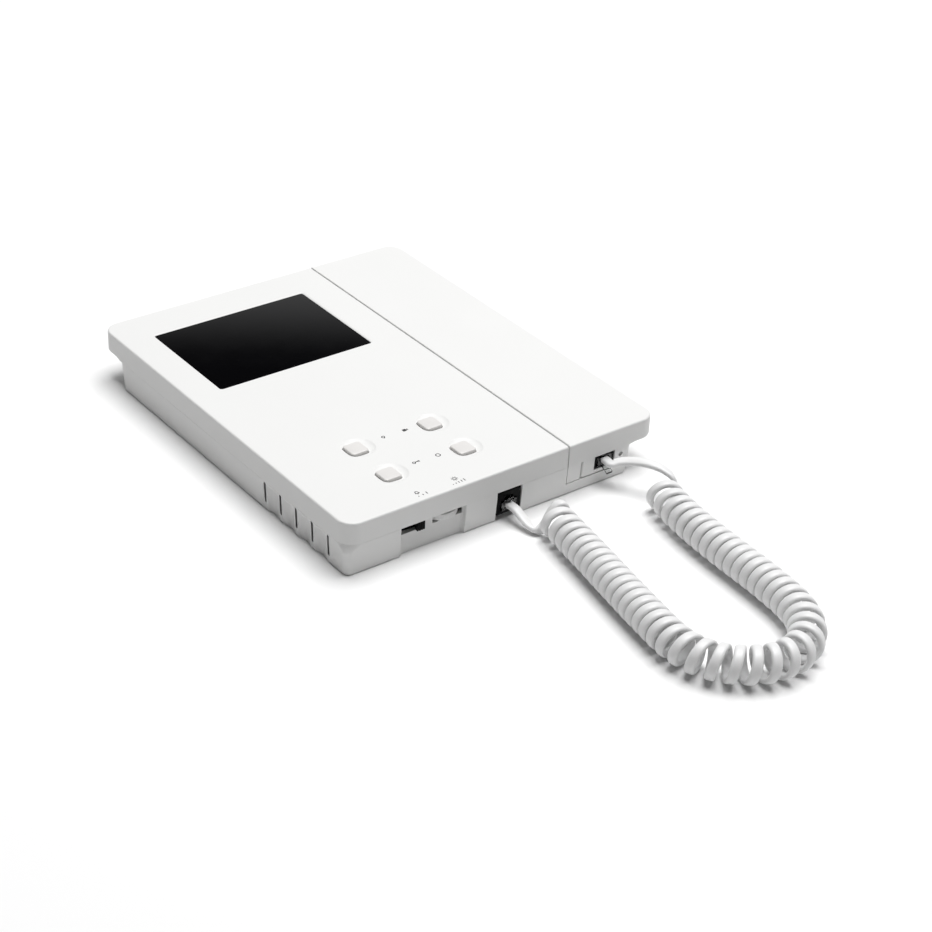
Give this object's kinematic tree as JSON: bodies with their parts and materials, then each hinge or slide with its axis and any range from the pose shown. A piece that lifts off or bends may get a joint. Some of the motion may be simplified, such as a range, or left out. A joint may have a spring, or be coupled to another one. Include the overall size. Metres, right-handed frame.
{
  "type": "video intercom monitor",
  "caption": "White video door-entry monitor lying on its back, with a dark screen, square keys, a handset flush in its side cradle and a curly cord from base to handset.",
  "frame": {"origin": "middle of the rear face, in the plane of the wall or table, without the cord", "axes": "+X to the handset side, +Y to the display end, which is up on a wall, +Z out of the front face"},
  "size_m": [0.16, 0.3446, 0.0249],
  "materials": {
    "white_abs": "satin moulded ABS",
    "button_white": "satin",
    "black_plastic": "matt",
    "dark_acrylic": "polished",
    "clear_plastic": "clear moulded",
    "cord_pvc": "soft satin PVC",
    "circuit_board": "solder mask",
    "zinc_steel": "zinc plated",
    "ferrite": "matt",
    "terminal_green": "matt",
    "reed_glass": "clear"
  },
  "bodies": {
    "base": {"base_jack": "black_plastic", "base_plug": "clear_plastic", "brightness_pot": "black_plastic", "camera_tact_switch": "black_plastic", "curly_cord": "cord_pvc", "door_tact_switch": "black_plastic", "front_cover": "white_abs", "housing_screw_1": "zinc_steel", "housing_screw_2": "zinc_steel", "housing_screw_3": "zinc_steel", "housing_screw_4": "zinc_steel", "lcd_frame": "zinc_steel", "lcd_panel": "dark_acrylic", "light_tact_switch": "black_plastic", "main_board": "circuit_board", "privacy_tact_switch": "black_plastic", "rear_housing": "white_abs", "reed_switch": "reed_glass", "ringer_speaker": "ferrite", "screen_window": "dark_acrylic", "terminal_block": "terminal_green", "volume_switch": "black_plastic"},
    "handset": {"handset_board": "circuit_board", "handset_front": "white_abs", "handset_jack": "black_plastic", "handset_plug": "clear_plastic", "handset_rear": "white_abs", "handset_screw_1": "zinc_steel", "handset_screw_2": "zinc_steel", "hook_magnet": "zinc_steel", "microphone_capsule": "ferrite", "receiver_capsule": "ferrite"},
    "light_button": {"light_button": "button_white"},
    "camera_button": {"camera_button": "button_white"},
    "door_button": {"door_button": "button_white"},
    "privacy_button": {"privacy_button": "button_white"},
    "volume_slider": {"volume_slider": "black_plastic"},
    "brightness_wheel": {"brightness_wheel": "white_abs"}
  },
  "joints": [
    {"name": "handset_lift", "type": "slide", "parent": "base", "child": "handset", "axis": [0, 0, 1], "range_m": [0, 0.07], "deforming": ["curly_cord"]},
    {"name": "light_press", "type": "slide", "parent": "base", "child": "light_button", "axis": [0, 0, -1], "range_m": [0, 0.0008], "stiffness_N_per_m": 900, "springref_m": -0.0006},
    {"name": "camera_press", "type": "slide", "parent": "base", "child": "camera_button", "axis": [0, 0, -1], "range_m": [0, 0.0008], "stiffness_N_per_m": 900, "springref_m": -0.0006},
    {"name": "door_press", "type": "slide", "parent": "base", "child": "door_button", "axis": [0, 0, -1], "range_m": [0, 0.0008], "stiffness_N_per_m": 900, "springref_m": -0.0006},
    {"name": "privacy_press", "type": "slide", "parent": "base", "child": "privacy_button", "axis": [0, 0, -1], "range_m": [0, 0.0008], "stiffness_N_per_m": 900, "springref_m": -0.0006},
    {"name": "volume_slide", "type": "slide", "parent": "base", "child": "volume_slider", "axis": [1, 0, 0], "range_m": [-0.0072, 0]},
    {"name": "brightness_turn", "type": "hinge", "parent": "base", "child": "brightness_wheel", "pos_m": [-0.0292, -0.088, 0.0112], "axis": [0, 0, 1], "range_deg": [-135, 135]}
  ]
}
